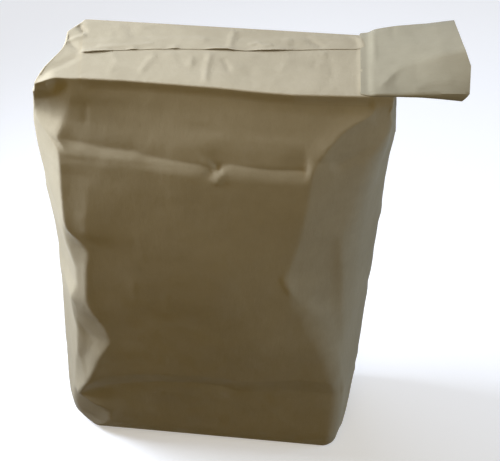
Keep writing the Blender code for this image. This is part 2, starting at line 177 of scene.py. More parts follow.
# Folds in the panels: (points across the face and up it, how far it stands out, reach on its left
# and right hand seen along the points, fade at its start and end)
FRONT_FOLDS = (
    # Level crease below the top end, with its pinch, and the ledge below it
    (((-182, 526), (-172, 524), (-149, 521), (-125, 517), (-87, 516), (-74, 512), (-35, 508), (-14, 506),
      (-5, 503), (5, 491)), -4.4, 34, 17, 26, 10),
    (((2, 500), (10, 507), (22, 509), (39, 507), (65, 505), (112, 507)), -4.6, 36, 18, 6, 8),
    (((3, 482), (9, 491), (14, 503)), 1.2, 6, 8, 5, 5),
    # The panel falls back towards the left flank
    (((-141, 484), (-143, 430), (-146, 385)), 2.8, 80, 34, 44, 24),
    # Strip below the rim that leans back
    (((-152, 587), (-60, 587), (40, 586), (176, 586)), -1.6, 11, 30, 14, 6),
    # Slack band from the top right corner to the end of the level crease, leaning back below its ridge
    (((178, 574), (157, 566), (144, 555), (130, 538), (118, 517)), 1.5, 26, 20, 8, 12),
    (((188, 532), (170, 526), (152, 515), (133, 505)), -1.6, 22, 24, 26, 10),
    # Short upright fold below the left end of the flaps
    (((-144, 572), (-144, 556), (-143, 538)), -0.9, 4, 7, 10, 10),
    # Where the panel tucks in above the bottom crease
    (((-174, 92), (-156, 128), (-131, 148), (-100, 158), (-60, 163), (0, 165), (60, 158), (120, 165),
      (172, 160)), 1.6, 30, 26, 4, 12),
    (((-176, 88), (-150, 108), (-131, 119), (-98, 131), (-62, 137), (-20, 140), (1, 139), (19, 137),
      (32, 129), (60, 129)), -4.2, 34, 30, 2, 40),
    (((19, 137), (32, 129), (75, 129), (111, 138), (134, 137), (157, 134), (180, 136)), -2.2, 50, 44, 40, 6),
    # Corner folds at the foot of the panel
    (((-166, 84), (-148, 79), (-127, 74), (-129, 52), (-131, 34)), 1.6, 24, 16, 6, 10),
    (((122, 20), (146, 30), (172, 42)), 1.2, 16, 14, 8, 6),
    # Facets of the left flank
    (((-172, 276), (-168, 241), (-148, 208)), -1.0, 14, 12, 8, 3),
    (((-148, 208), (-160, 168), (-156, 128)), -0.9, 12, 12, 3, 6),
    (((-178, 232), (-172, 190), (-157, 131)), 0.8, 9, 9, 8, 4),
    # The right crease's outermost bend, and its soft shoulder
    (((87, 354), (91, 340), (100, 324)), 1.1, 18, 5, 5, 6),
    (((150, 420), (160, 330), (166, 250), (176, 150)), 2.2, 22, 14, 40, 30),
    # Faint upright waves in the panel
    (((-92, 350), (-88, 290)), 0.5, 8, 9, 25, 25),
    (((-52, 330), (-50, 270)), 0.5, 9, 7, 25, 25),
    (((-84, 420), (-78, 360)), 0.5, 12, 9, 25, 25),
)
SIDE_FOLDS = (
    # The triangles that the folded end leaves below and above a side
    (((-52, 585), (-28, 545), (-2, 505), (2, 470)), 2.2, 22, 18, 6, 30),
    (((52, 588), (30, 548), (4, 507)), 2.2, 18, 22, 6, 8),
    (((-44, 548), (0, 538), (44, 546)), -2.0, 16, 20, 8, 8),
    (((-46, 14), (-22, 60), (0, 104), (2, 150)), 1.8, 20, 20, 10, 30),
    (((46, 16), (24, 62), (2, 104)), 1.8, 20, 20, 10, 8),
    (((-30, 420), (-6, 390), (24, 372)), 1.4, 16, 14, 12, 12),
    (((26, 300), (2, 262), (-30, 240)), -1.3, 18, 14, 12, 12),
)
BACK_FOLDS = (
    (((-128, 504), (-70, 508), (-10, 503), (30, 512), (84, 514), (140, 519), (176, 522)), -2.8, 24, 15, 6, 6),
    (((-150, 586), (0, 586), (150, 587)), -1.4, 11, 28, 10, 10),
    (((-158, 556), (-142, 530), (-127, 506)), -2.0, 14, 14, 8, 8),
    (((-160, 132), (-110, 138), (-40, 130), (30, 136), (90, 128), (152, 130)), -4.0, 34, 30, 4, 4),
    (((-150, 162), (-60, 158), (40, 163), (140, 158)), 1.4, 28, 24, 8, 8),
    (((60, 470), (84, 420), (92, 372)), 1.0, 24, 18, 20, 20),
    (((-60, 300), (-20, 262), (10, 250)), -0.9, 18, 22, 16, 16),
    (((-96, 430), (-70, 396), (-62, 350)), 0.9, 18, 16, 16, 16),
)
TOP_FOLDS = (
    # The end pocket's own folds, at the left of the flaps
    (((-194, -52), (-176, -34), (-154, -12)), -0.9, 9, 9, 4, 4),
    (((-176, 22), (-166, 6), (-154, -9)), -1.0, 10, 8, 4, 4),
    (((-175, 11), (-164, 19), (-153, 26)), 1.0, 6, 6, 3, 3),
    (((-166, 48), (-160, 38), (-154, 30)), -1.4, 7, 7, 3, 3),
    # Creases across the flaps
    (((-71, -3), (-77, -18), (-86, -42)), 0.7, 7, 7, 4, 8),
    (((-29, -3), (-31, -28)), 0.7, 6, 6, 4, 6),
    (((-10, 5), (-12, -24), (-12, -50)), 0.8, 7, 6, 4, 4),
    (((5, -3), (15, -30)), -0.6, 6, 6, 4, 6),
    (((15, 52), (12, 34), (11, 15)), 0.7, 7, 6, 4, 4),
    (((32, 24), (42, 29), (50, 23), (60, 27)), 0.7, 5, 5, 3, 3),
    (((-139, 2), (-104, 9), (-73, 16)), 0.7, 6, 6, 6, 6),
    (((96, 52), (104, 36), (120, 26)), -0.5, 9, 9, 6, 6),
    (((60, -50), (72, -20), (78, 8)), 0.4, 12, 12, 10, 10),
    (((120, -54), (128, -22), (122, 16)), -0.4, 12, 12, 10, 10),
    (((-118, -48), (-112, -20), (-124, -4)), 0.4, 10, 10, 8, 8),
    (((148, 58), (158, 46), (165, 30)), 0.8, 8, 6, 4, 4),
)
# The rounding of such a fold's edge
FOLD_EDGE = 1.3
# How far wear on raised folds and painted shade in sunk folds reach beside a fold, and the reach above which a fold
# is too soft to be worn or painted with shade
WEAR_AND_SHADE_REACH = 2.6
NARROW_FOLD = 9.0

# Chance creases: how many on each face, their length, reach and height
CHANCE_CREASES = {"front": 34, "back": 46, "left": 26, "right": 26, "top": 44}
CHANCE_LENGTH = (18.0, 75.0)
CHANCE_REACH = (5.0, 20.0)
CHANCE_HEIGHT = (0.12, 0.5)
CHANCE_SEED = 41

# Slow waves of the paper: (size, height)
PAPER_WAVES = ((150.0, 1.2), (62.0, 0.8), (26.0, 0.35))
TOP_WAVES = ((80.0, 0.7), (30.0, 0.3))

# The flaps: ends and seam in plan, ply, and how far they reach down over the rim
FLAP_LEFT_END = ((-60, -148), (60, -160))
FLAP_RIGHT_END = ((-60, 168), (60, 165))
SEAM_LINE = (
    (-170, -12), (-153, -9), (-124, -2), (-100, 2), (-48, 8), (-5, 11), (23, 12), (57, 15), (76, 18),
    (155, 28), (170, 30),
)
SEAM_GAP = (
    (-160, 0.4), (-150, 1.3), (-140, 1.9), (-126, 1.2), (-118, 0.1), (-104, 0.1), (-97, 1.2), (-90, 0.1),
    (-60, 0.1), (-50, 1.4), (-43, 0.1), (-18, 0.1), (-6, 1.7), (8, 2.3), (20, 0.7), (32, 0.3), (44, 1.5),
    (60, 1.9), (72, 1.0), (86, 0.2), (120, 0.15), (170, 0.05),
)
FLAP_PLY = 0.55
# The flaps thin out towards their pasted right end, over this length
FLAP_TAPER = 9.0
FLAP_SEAT = 0.06
FLAP_OVERLAP = 24.0
FLAP_LIFT_REACH = 15.0
FLAP_COLUMNS = 150
FLAP_ROWS = 26
FLAP_WRAP_ROWS = 5

# The valve sleeve at stations along x: front edge, ridge and back edge of its upper sheet, each as
# (y, height over the top end, depth of the sleeve there)
SLEEVE_STATIONS = (
    (158.0, (-54, 1.1, 1.0), (-48, 1.1, 1.0), (58, 1.3, 1.0)),
    (168.0, (-56, 1.3, 1.2), (-50, 1.3, 1.2), (59, 2.6, 1.6)),
    (173.0, (-57, 3.0, 2.6), (-50, 3.2, 2.8), (60, 6.0, 3.2)),
    (184.0, (-56, 3.2, 3.0), (-38, 5.4, 4.6), (61.5, 8.3, 3.4)),
    (198.0, (-55, 3.4, 2.8), (-19, 8.6, 7.6), (63, 11.0, 3.6)),
    (220.0, (-53, 4.2, 4.0), (-9, 14.4, 13.4), (63.5, 15.1, 3.8)),
    (247.0, (-51, 4.8, 6.2), (-5, 23.6, 21.4), (63.5, 19.4, 4.2)),
    (273.0, (-49, 5.2, 9.6), (-4, 30.6, 26.8), (63.5, 23.3, 4.6)),
)
# The mouth's edge runs back to the far side, (y, shift in x), and its lower sheet is set back
MOUTH_PLAN = ((-49, 4.5), (-20, 5.5), (-4, -0.5), (15, -3), (63.5, -9))
MOUTH_SLANT = 7.0
SLEEVE_PLY = 0.9
SLEEVE_COLUMNS = 44
SLEEVE_SLOPE_STEPS = 14
SLEEVE_FLAT_STEPS = 10
SLEEVE_SIDE_STEPS = 3

FLOOR_SIZE = 9.0


def between(a, b, t):
    return a + (b - a) * t


def smoothstep(value, low, high):
    t = np.clip((value - low) / (high - low), 0.0, 1.0)
    return t * t * (3 - 2 * t)


def profile(table, at):
    """Values of a table of (place, value), in either order, at the given places."""
    rows = sorted(table)
    return np.interp(at, [row[0] for row in rows], [row[1] for row in rows])


def running_mean(values, reach):
    """Weighted running mean that keeps both end values where they are."""
    kernel = np.hanning(2 * reach + 3)[1:-1]
    start = 2 * values[0] - values[reach:0:-1]
    end = 2 * values[-1] - values[-2:-reach - 2:-1]
    return np.convolve(np.concatenate([start, values, end]), kernel / kernel.sum(), "valid")


def smooth_profile(table, levels, reach):
    """Values of a table of (height, value) at the given heights, with its turns softened."""
    even = np.arange(0.0, 601.0)
    return np.interp(levels, even, running_mean(profile(table, even), reach))


def fold_line(points, levels, reach=6):
    """Plan positions (levels, 2) of a fold at the given heights, with its turns softened."""
    return np.stack([smooth_profile([(point[0], point[axis]) for point in points], levels, reach)
                     for axis in (1, 2)], axis=1)


def rows_and_insets():
    """Height of every row from rim to floor, and how far each is drawn in by the rounded edges."""
    rows, insets = [], []
    for step in range(RIM_STEPS + 1):
        angle = math.pi / 2 * (1 - step / RIM_STEPS)
        rows.append(BASE_TOP - RIM_RADIUS * (1 - math.sin(angle)))
        insets.append(RIM_RADIUS * (1 - math.cos(angle)))
    for high, low, spacing in WALL_BANDS:
        count = round((high - low) / spacing)
        rows += [between(high, low, index / count) for index in range(count)]
        insets += [0.0] * count
    for step in range(BOTTOM_STEPS + 1):
        angle = math.pi / 2 * step / BOTTOM_STEPS
        rows.append(BOTTOM_RADIUS * (1 - math.sin(angle)))
        insets.append(BOTTOM_RADIUS * (1 - math.cos(angle)))
    return np.array(rows), np.array(insets)


def graded(count):
    """Fractions of a span, closer together at both of its ends."""
    return np.array([between(index / count, 0.5 - 0.5 * math.cos(math.pi * index / count), 0.7)
                     for index in range(count)])


def unit(vectors):
    return vectors / np.maximum(np.linalg.norm(vectors, axis=-1, keepdims=True), 1e-9)


def ring_corners(levels):
    """Where each span starts, at every height: (spans, levels, 2)."""
    corners = [fold_line(line, levels) for line, _, _ in SPANS]
    blend = smoothstep(levels, RIDGE_END - 2, RIDGE_END + 8)[:, None]
    for index, (line, _, _) in enumerate(SPANS):
        if line in RIDGE_LINES:
            before, after = corners[index - 1], corners[(index + 1) % len(SPANS)]
            corners[index] = between(between(before, after, RIDGE_SHARE), corners[index], blend)
    return np.array(corners)


def turn(corner, before, after, reach, t):
    """Point of the rounded turn at a corner, t from 0 on the way in to 1 on the way out."""
    start = corner + unit(before - corner) * reach
    end = corner + unit(after - corner) * reach
    return (1 - t) ** 2 * start + 2 * t * (1 - t) * corner + t * t * end


def ring_sections(levels):
    """Rounded outline of the sack at every height (levels, columns, 2), and each column's nearness
    to a crisp fold."""
    corners = ring_corners(levels)
    count = len(SPANS)
    lengths = [np.linalg.norm(corners[(k + 1) % count] - corners[k], axis=1) for k in range(count)]
    reaches = []
    for k in range(count):
        room = 0.46 * np.minimum(lengths[k - 1], lengths[k])
        reaches.append(np.minimum(profile(SPANS[k][2], levels), room)[:, None] + 1e-6)
    columns, sharpness = [], []
    for k in range(count):
        here, there = corners[k], corners[(k + 1) % count]
        before, beyond = corners[k - 1], corners[(k + 2) % count]
        steps = SPANS[k][1]
        fractions = graded(steps) if steps != PANEL_COLUMNS else np.arange(steps) / steps
        crown = np.zeros_like(levels)
        if k in (FRONT_PANEL_SPAN, BACK_PANEL_SPAN):
            crown = smooth_profile(PANEL_CROWN, levels, CROWN_BLEND)
        outward = -1 if k == FRONT_PANEL_SPAN else 1
        near_reach, far_reach = reaches[k], reaches[(k + 1) % count]
        for t in fractions:
            point = between(here, there, t)
            near, far = (lengths[k] * t)[:, None], (lengths[k] * (1 - t))[:, None]
            entering = turn(here, before, there, near_reach, 0.5 + 0.5 * near / near_reach)
            leaving = turn(there, here, beyond, far_reach, 0.5 - 0.5 * far / far_reach)
            point = np.where(near < near_reach, entering, np.where(far < far_reach, leaving, point))
            point[:, 1] += outward * crown * math.sin(math.pi * t) ** 1.2
            columns.append(point)
            crispness = np.zeros(len(levels))
            for table, gap in ((SPANS[k][2], near), (SPANS[(k + 1) % count][2], far)):
                if table is CRISP:
                    crispness = np.maximum(crispness, np.exp(-(gap[:, 0] / 3.0) ** 2))
            sharpness.append(crispness)
    return np.stack(columns, axis=1), np.stack(sharpness, axis=1)


def along_fold(points, across, up):
    """Signed distance of each place from a fold, its left hand positive, and how far along it lies."""
    best = np.full(across.shape, 1e9)
    signed = np.zeros(across.shape)
    place = np.zeros(across.shape)
    passed = 0.0
    for (ax, ay), (bx, by) in zip(points, points[1:]):
        dx, dy = bx - ax, by - ay
        length = math.hypot(dx, dy)
        t = np.clip(((across - ax) * dx + (up - ay) * dy) / length ** 2, 0, 1)
        gap = np.hypot(across - (ax + dx * t), up - (ay + dy * t))
        side = np.sign(dx * (up - ay) - dy * (across - ax))
        nearer = gap < best
        best = np.where(nearer, gap, best)
        signed = np.where(nearer, gap * np.where(side == 0, 1, side), signed)
        place = np.where(nearer, passed + t * length, place)
        passed += length
    return signed, place, passed


def fold_relief(folds, across, up):
    """How far folds lift each place of a face, how worn (+) its raised folds are, and how much painted shade (-) its
    sunk folds get.
    """
    lift, wear_and_shade = np.zeros(across.shape), np.zeros(across.shape)
    for points, height, left_reach, right_reach, start_fade, end_fade in folds:
        signed, place, total = along_fold(points, across, up)
        reach = np.where(signed > 0, left_reach, right_reach)
        share = (np.sqrt(signed ** 2 + FOLD_EDGE ** 2) - FOLD_EDGE) / reach
        fade = 1.0
        if start_fade:
            fade = fade * smoothstep(place, -0.5, start_fade)
        if end_fade:
            fade = fade * smoothstep(total - place, -0.5, end_fade)
        amount = fade * np.clip(1 - share, 0, 1) ** 2
        lift += height * amount
        mark_strength = min(1.0, abs(height) / 1.5) * min(1.0, NARROW_FOLD / min(left_reach, right_reach))
        # Raised folds are worn lighter; sunk folds get painted shade, darker
        wear_and_shade += np.sign(height) * mark_strength * fade * np.exp(-(signed / WEAR_AND_SHADE_REACH) ** 2)
    return lift, wear_and_shade


def chance_folds(face, draw):
    """Small creases at chance places of a face, as folds."""
    wide, low, high = {
        "front": (175, 20, 575), "back": (165, 20, 575), "left": (48, 30, 570),
        "right": (48, 30, 570), "top": (185, -52, 54),
    }[face]
    folds = []
    for _ in range(CHANCE_CREASES[face]):
        x, y = draw.uniform(-wide, wide), draw.uniform(low, high)
        length = draw.uniform(*CHANCE_LENGTH) * (0.5 if face == "top" else 1.0)
        heading = draw.choice((0.25, 0.5, 0.5, 0.75, 0.0)) * math.pi + draw.gauss(0, 0.28)
        bend = draw.gauss(0, 0.3)
        middle = (x + length / 2 * math.cos(heading), y + length / 2 * math.sin(heading))
        end = (middle[0] + length / 2 * math.cos(heading + bend), middle[1] + length / 2 * math.sin(heading + bend))
        height = draw.uniform(*CHANCE_HEIGHT) * draw.choice((-1, 1))
        left, right = draw.uniform(*CHANCE_REACH), draw.uniform(*CHANCE_REACH)
        folds.append((((x, y), middle, end), height, left, right, length * 0.4, length * 0.4))
    return folds


def waves(points, sizes):
    """Slow chance waves at each place, in millimetres."""
    shape = points.shape[:-1]
    values = np.zeros(shape)
    flat = points.reshape(-1, 3)
    out = values.reshape(-1)
    for size, height in sizes:
        scale = 1.0 / size
        out += height * np.array([noise.noise(Vector(p) * scale) for p in flat.tolist()])
    return values


def grid_normals(grid):
    """Outward normals of the wall's grid (rows, columns, 3), whose columns close on themselves."""
    down = np.gradient(grid, axis=0)
    round_ = np.roll(grid, -1, axis=1) - np.roll(grid, 1, axis=1)
    return unit(np.cross(down, round_))


def knock(x, y):
    """How far the knocked corner of the top lies below its place."""
    gap = np.hypot(x - KNOCKED_CORNER[0], y - KNOCKED_CORNER[1])
    return KNOCK_DEPTH * np.clip(1 - gap / KNOCK_REACH, 0, 1) ** 1.6


def top_relief(x, y, chance):
    """Height of the relief of the closed top end and of the flaps over it."""
    lift, wear_and_shade = fold_relief(TOP_FOLDS + tuple(chance), x, y)
    flat = np.stack([x, y, np.full_like(x, 700.0)], axis=-1)
    lift = lift + waves(flat, TOP_WAVES)
    return lift, wear_and_shade


class Surface:
    """Vertices, faces and per-vertex wear and painted crease shade of a mesh that is put together from grids."""

    def __init__(self):
        self.points, self.faces, self.wear_and_shade = [], [], []

    def add(self, points, wear_and_shade):
        """Adds an array of points (..., 3) and returns their numbers in the same shape."""
        shape = points.shape[:-1]
        start = len(self.points)
        self.points += points.reshape(-1, 3).tolist()
        self.wear_and_shade += np.broadcast_to(wear_and_shade, shape).reshape(-1).tolist()
        return np.arange(start, start + math.prod(shape)).reshape(shape)

    def skin(self, ids, closed=False, flip=False):
        """Joins neighbours of a grid of vertex numbers; closed joins its last column to its first."""
        beside = np.roll(ids, -1, axis=1) if closed else ids[:, 1:]
        here = ids if closed else ids[:, :-1]
        quads = np.stack([here[:-1], here[1:], beside[1:], beside[:-1]], axis=-1).reshape(-1, 4)
        if flip:
            quads = quads[:, ::-1]
        self.faces += quads.tolist()

    def make(self, name, material):
        mesh = bpy.data.meshes.new(name)
        mesh.from_pydata([tuple(c * MM for c in point) for point in self.points], [], self.faces)
        mesh.attributes.new("wear_and_shade", "FLOAT", "POINT").data.foreach_set("value", self.wear_and_shade)
        mesh.shade_smooth()
        mesh.set_sharp_from_angle(angle=math.radians(SHARP_ANGLE))
        mesh.materials.append(material)
        obj = bpy.data.objects.new(name, mesh)
        bpy.context.scene.collection.objects.link(obj)
        return obj


SHARP_ANGLE = 48.0


def wall_grid(chance):
    """The sack's wall (rows, columns, 3) from rim to floor, and its wear and painted crease shade."""
    levels, insets = rows_and_insets()
    plan, crisp = ring_sections(levels)
    rows, columns = plan.shape[:2]
    grid = np.dstack([plan, np.broadcast_to(levels[:, None], (rows, columns))]).copy()

    # The rim of the front panel bows in and out
    front = smoothstep(-grid[..., 1], 30, 50)
    bow = profile(FRONT_RIM_BOW, grid[..., 0].ravel()).reshape(rows, columns)
    grid[..., 1] -= bow * front * smoothstep(levels, BASE_TOP - RIM_BOW_DEPTH, BASE_TOP)[:, None]

    normals = grid_normals(grid)
    x, y, z = np.moveaxis(grid, -1, 0)
    lift, wear_and_shade = np.zeros((rows, columns)), crisp * 0.8
    faces = (
        (FRONT_FOLDS + tuple(chance["front"]), x, -normals[..., 1]),
        (BACK_FOLDS + tuple(chance["back"]), x, normals[..., 1]),
        (SIDE_FOLDS + tuple(chance["left"]), y, -normals[..., 0]),
        (SIDE_FOLDS + tuple(chance["right"]), -y, normals[..., 0]),
    )
    for folds, across, facing in faces:
        share = smoothstep(facing, 0.3, 0.72)
        face_lift, face_wear_and_shade = fold_relief(folds, across, z)
        lift += share * face_lift
        wear_and_shade += share * face_wear_and_shade
    paper = waves(grid, PAPER_WAVES)
    lift += paper * smoothstep(BASE_TOP - z, 2, 60) * smoothstep(z, 4, 70)
    lift *= smoothstep(z, 3.0, 14.0) * smoothstep(BASE_TOP - z, -0.5, 3.0)

    # The rounded edges draw the rim and the foot in
    grid += normals * lift[..., None]
    level_out = unit(np.stack([normals[..., 0], normals[..., 1], np.zeros_like(x)], axis=-1))
    grid -= level_out * insets[:, None, None]
    grid[..., 2] -= knock(grid[..., 0], grid[..., 1]) * smoothstep(grid[..., 2], 540, BASE_TOP)
    wear_and_shade += np.exp(-((BASE_TOP - z) / 3.5) ** 2) * 0.7
    return grid, np.clip(wear_and_shade, -1.5, 1.5)


def side_indices(spans):
    """Ring columns from the start of the first of these spans to the start of the one after the last."""
    starts = np.cumsum([0] + [steps for _, steps, _ in SPANS])
    total = starts[-1]
    return np.arange(starts[spans[0]], starts[spans[-1] + 1] + 1) % total


def end_grid(ring, height):
    """Grid that fills a ring of the wall's columns, its middle at heights given by plan position."""
    front, right = side_indices(FRONT_SPANS), side_indices(RIGHT_SPANS)
    back = side_indices(BACK_SPANS)[::-1]
    left = side_indices(range(10, 12))[::-1]
    u = np.linspace(0, 1, len(front))[:, None, None]
    v = np.linspace(0, 1, len(right))[None, :, None]
    f, b, l, r = ring[front][:, None], ring[back][:, None], ring[left][None], ring[right][None]
    corners = ((1 - u) * (1 - v) * f[0] + u * (1 - v) * f[-1] + (1 - u) * v * b[0] + u * v * b[-1])
    grid = (1 - v) * f + v * b + (1 - u) * l + u * r - corners
    edge = np.minimum(np.minimum(u, 1 - u) * len(front), np.minimum(v, 1 - v) * len(right))[..., 0]
    level = height(grid[..., 0], grid[..., 1])
    grid[..., 2] = between(grid[..., 2], level, smoothstep(edge, 0, 4))
    return grid, (front, right, back, left)


def add_end(surface, ids, ring_ids, height, wear_and_shade, flip):
    """Closes one end of the wall with a grid that shares the wall's own rim vertices."""
    points = np.array([surface.points[i] for i in ring_ids])
    grid, (front, right, back, left) = end_grid(points, height)
    inner = surface.add(grid[1:-1, 1:-1], wear_and_shade(grid[1:-1, 1:-1, 0], grid[1:-1, 1:-1, 1]))
    whole = np.zeros(grid.shape[:2], dtype=int)
    whole[1:-1, 1:-1] = inner
    whole[:, 0], whole[:, -1] = ring_ids[front], ring_ids[back]
    whole[0, :], whole[-1, :] = ring_ids[left], ring_ids[right]
    surface.skin(whole, flip=flip)
    return ids


def rim_path(wall, x, back):
    """For each x along the front or back rim, the wall's points there from low to high."""
    spans = BACK_SPANS if back else FRONT_SPANS
    columns = side_indices(spans)
    strip = wall[:FLAP_WRAP_ROWS + RIM_STEPS, columns][::-1]
    if back:
        strip = strip[:, ::-1]
    path = []
    for row in strip:
        path.append(np.stack([x, np.interp(x, row[:, 0], row[:, 1]), np.interp(x, row[:, 0], row[:, 2])], axis=-1))
    return np.array(path)


def flap_sheet(wall, back, chance):
    """Middle surface of one flap, from over the rim to its free edge: (rows, columns, 3)."""
    edge_y = 60.0 if back else -60.0
    left = profile(FLAP_LEFT_END, edge_y)
    right = profile(FLAP_RIGHT_END, edge_y)
    x = np.linspace(left, right, FLAP_COLUMNS)
    wrap = rim_path(wall, x, back)
    rim = wrap[-1]
    far = profile(SEAM_LINE, x) + (0.0 if back else FLAP_OVERLAP)
    flat_rows = []
    for row in range(1, FLAP_ROWS + 1):
        t = row / FLAP_ROWS
        t = between(t, 1 - (1 - t) ** 1.7, 0.6)
        y = between(rim[:, 1], far, t)
        ends = between(profile(FLAP_LEFT_END, y), profile(FLAP_RIGHT_END, y), (x - left) / (right - left))
        flat_rows.append(np.stack([ends, y, np.zeros_like(x)], axis=-1))
    flat = np.array(flat_rows)
    return wrap, flat, far


def flap_heights(flat, far, back, relief):
    """Height of the underside of a flap over the top end."""
    x, y = flat[..., 0], flat[..., 1]
    height = BASE_TOP + FLAP_SEAT + relief - knock(x, y)
    # Both flaps climb over the end of the sleeve below them
    height = height + 1.2 * smoothstep(x, 154, 162)
    if back:
        over = smoothstep(y, far + FLAP_OVERLAP + 4, far + FLAP_OVERLAP - 6)
        lift = profile(SEAM_GAP, x.ravel()).reshape(x.shape)
        nearness = np.clip(1 - (y - far) / FLAP_LIFT_REACH, 0, 1) ** 2
        height = height + (FLAP_PLY + FLAP_SEAT) * over + lift * nearness
    return height


def add_flap(surface, wall, back, chance):
    """One flap: a sheet folded over the rim and laid on the top end."""
    wrap, flat, far = flap_sheet(wall, back, chance)
    relief, worn_and_shaded = top_relief(flat[..., 0], flat[..., 1], chance)
    flat[..., 2] = flap_heights(flat, far, back, relief)
    # Over the rim the sheet starts flush with the wall and gains its ply by the top
    reach = len(wrap)
    gain = smoothstep(np.arange(reach), 0, FLAP_WRAP_ROWS + 1)[:, None]
    lower = np.concatenate([wrap, flat])
    blend = smoothstep(np.abs(lower[..., 1] - lower[reach - 1, :, 1]), 0, 7.0)
    blend[:reach] = 0.0
    lower[..., 2] = between(wrap[-1, :, 2] + 0.05, lower[..., 2], blend) * (np.arange(len(lower)) >= reach)[:, None] \
        + lower[..., 2] * (np.arange(len(lower)) < reach)[:, None]
    down = np.gradient(lower, axis=0)
    side = np.gradient(lower, axis=1)
    normals = unit(np.cross(side, down)) if not back else unit(np.cross(down, side))
    ply = FLAP_PLY * between(0.1, 1.0, smoothstep(lower[0, -1, 0] - lower[..., 0], 0, FLAP_TAPER))
    ply[:reach] *= gain
    upper = lower + normals * ply[..., None]
    lower[:reach] -= normals[:reach] * 0.3
    wear_and_shade = np.concatenate([np.full(wrap.shape[:2], 0.4), worn_and_shaded])
    wear_and_shade[-1] += 0.8
    wear_and_shade[:, 0] += 0.6
    wear_and_shade[:, -1] += 0.6
    top = surface.add(upper, wear_and_shade)
    bottom = surface.add(lower, 0.0)
    surface.skin(top, flip=not back)
    surface.skin(bottom, flip=back)
    rim_top = np.concatenate([top[0], top[1:, -1], top[-1, -2::-1], top[-2:0:-1, 0]])
    rim_bottom = np.concatenate([bottom[0], bottom[1:, -1], bottom[-1, -2::-1], bottom[-2:0:-1, 0]])
    surface.skin(np.stack([rim_top, rim_bottom]), closed=True, flip=back)


def make_sack(material):
    draw = random.Random(CHANCE_SEED)
    chance = {face: chance_folds(face, draw) for face in CHANCE_CREASES}
    wall, wear_and_shade = wall_grid(chance)
    surface = Surface()
    ids = surface.add(wall, wear_and_shade)
    surface.skin(ids, closed=True)

    def top_height(x, y):
        return BASE_TOP + top_relief(x, y, chance["top"])[0] - knock(x, y)

    def top_wear_and_shade(x, y):
        return top_relief(x, y, chance["top"])[1]

    add_end(surface, ids, ids[0], top_height, top_wear_and_shade, flip=True)
    add_end(surface, ids, ids[-1], foot_height, lambda x, y: np.zeros_like(x), flip=False)
    for back in (False, True):
        add_flap(surface, wall, back, chance["top"])
    return surface.make("paper_sack", material)


# The pasted flaps of the foot, which stands on them: the middle of each end is a little higher
FOOT_HOLLOW = 1.0


def foot_height(x, y):
    ends = smoothstep(np.abs(x), 124, 132)
    seam = np.exp(-((y - 6 - 0.03 * x) / 2.2) ** 2) * (1 - ends)
    return FOOT_HOLLOW * np.maximum(ends, 0.7 * seam)


def sleeve_values(x):
    """Front edge, ridge and back edge of the sleeve's upper sheet at x, smoothed between stations."""
    places = [station[0] for station in SLEEVE_STATIONS]
    even = np.linspace(places[0], places[-1], 231)
    values = []
    for edge in (1, 2, 3):
        row = []
        for axis in range(3):
            table = np.interp(even, places, [station[edge][axis] for station in SLEEVE_STATIONS])
            row.append(np.interp(x, even, running_mean(table, 7)))
        values.append(row)
    return values


def sleeve_section(x):
    """Outline of the sleeve at x, from its front edge over the upper sheet and back below: (points, 3)."""
    front, ridge, back = sleeve_values(x)
    upper = []
    for start, end, steps in ((front, ridge, SLEEVE_SLOPE_STEPS), (ridge, back, SLEEVE_FLAT_STEPS)):
        upper += [[between(a, b, step / steps) for a, b in zip(start, end)] for step in range(steps)]
    upper.append(back)
    return np.array(upper)


